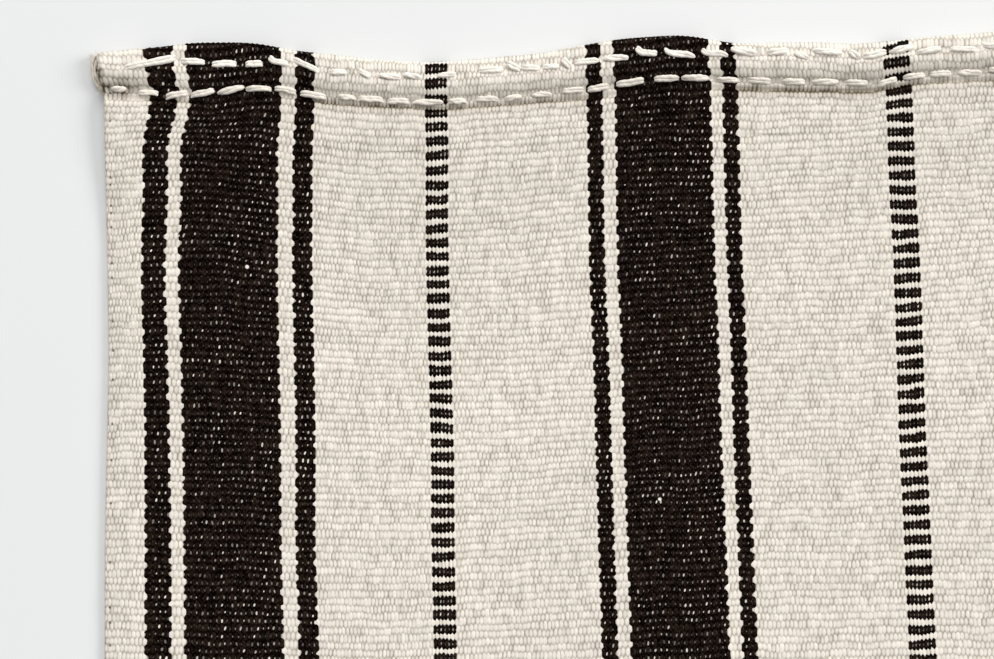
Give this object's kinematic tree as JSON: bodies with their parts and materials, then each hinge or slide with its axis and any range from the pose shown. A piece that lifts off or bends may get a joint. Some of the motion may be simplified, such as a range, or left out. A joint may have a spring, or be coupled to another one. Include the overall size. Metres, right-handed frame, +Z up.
{
  "type": "hemp runner rug",
  "caption": "Long flat warp-faced hemp rug in off-white with black-brown lengthwise stripes and dotted ladder lines, its ends turned under and hand sewn.",
  "frame": {"origin": "middle of the underside, on the floor", "axes": "+X across the cloth, +Y along the warps and the rug's length, +Z up"},
  "size_m": [0.802, 2.3989, 0.0085],
  "materials": {
    "hemp_cloth": "matt warp-faced hemp weave, off-white with black-brown stripes"
  },
  "bodies": {
    "root": {"rug_cloth": "hemp_cloth"}
  },
  "joints": []
}
